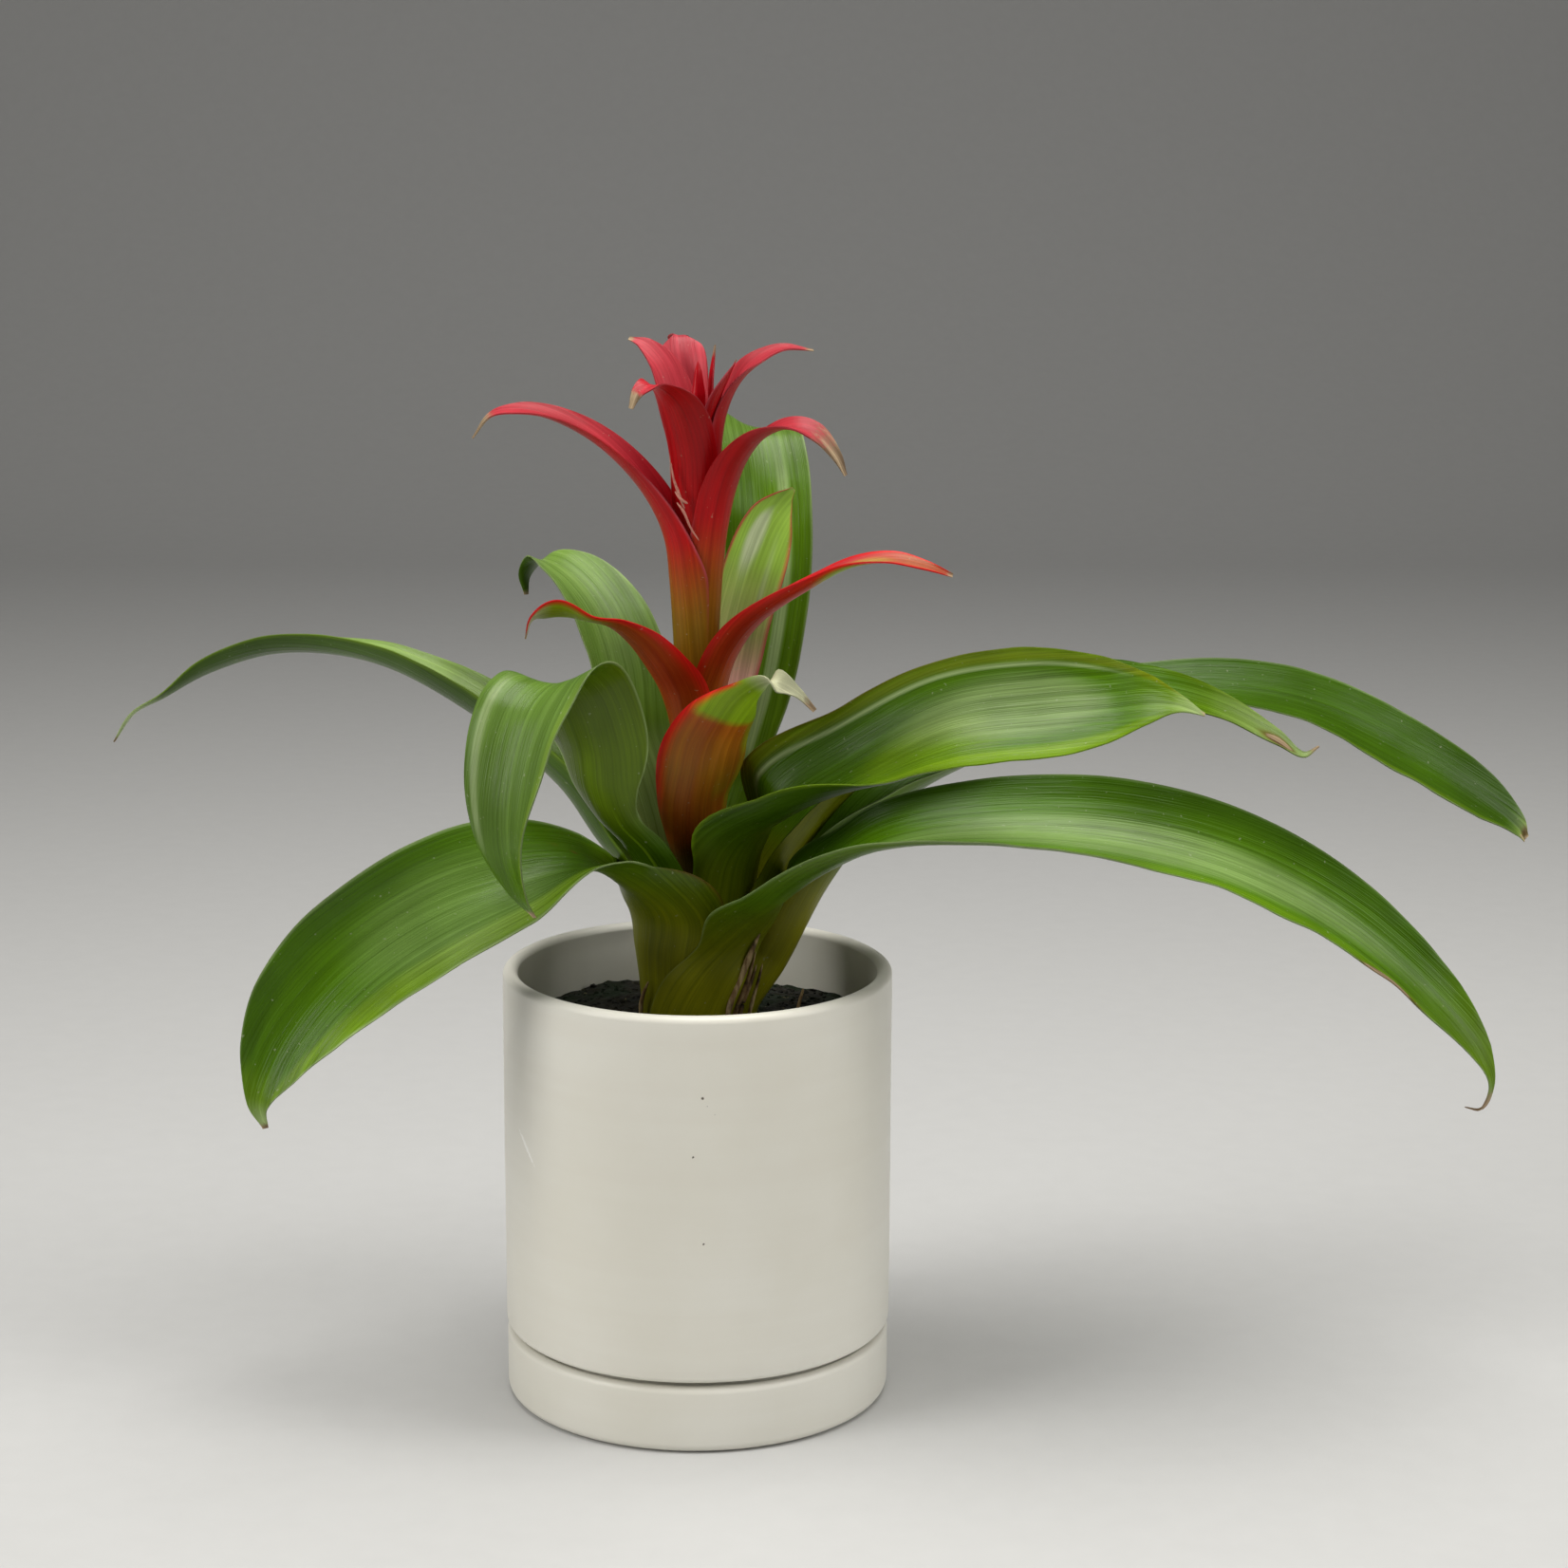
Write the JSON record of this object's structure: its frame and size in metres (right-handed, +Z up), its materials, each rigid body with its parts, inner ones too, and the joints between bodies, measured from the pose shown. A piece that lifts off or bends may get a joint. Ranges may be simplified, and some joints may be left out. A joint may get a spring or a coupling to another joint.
{
  "type": "potted guzmania",
  "caption": "Flowering bromeliad with a rosette of arching strap leaves and a red bract head, growing in a round ceramic pot on a matching saucer",
  "frame": {"origin": "middle of the saucer's flat underside, on the surface the plant stands on", "axes": "+Z up along the pot's axis; -Y towards the viewer of the picture, so the front of the plant faces -Y; +X to the viewer's right, the way the leaves spread furthest"},
  "size_m": [0.4929, 0.2032, 0.354],
  "materials": {
    "ceramic": "off-white satin ceramic with a few dark specks",
    "potting_mix": "moist dark peat and bark crumbs",
    "stalk": "olive-yellow stem with red-brown streaks",
    "leaf": "glossy mid-green strap leaf with fine lengthwise streaks",
    "red_bract": "satin red bract, greenish or dry and pale at the tip",
    "pale_bract": "pale green bract with dark red margins"
  },
  "bodies": {
    "root": {"saucer": "ceramic", "pot": "ceramic", "potting_mix": "potting_mix", "flower_stalk": "stalk", "leaf_right_front_long": "leaf", "leaf_right_back_long": "leaf", "leaf_left_broad": "leaf", "leaf_left_arched": "leaf", "leaf_right_back_short": "leaf", "leaf_right_broad": "leaf", "leaf_left_back_long": "leaf", "leaf_back_left": "leaf", "leaf_back_upright": "leaf", "bract_front_low": "red_bract", "bract_back_pale": "pale_bract", "bract_left_low": "red_bract", "bract_right_low": "red_bract", "bract_left_high": "red_bract", "bract_right_high": "red_bract", "bract_front_high": "red_bract", "bract_right_top": "red_bract", "bract_back_top": "red_bract", "bract_left_top": "red_bract", "bract_inner_right": "red_bract", "bract_inner_thin": "red_bract", "flower_bud": "red_bract"}
  },
  "joints": []
}
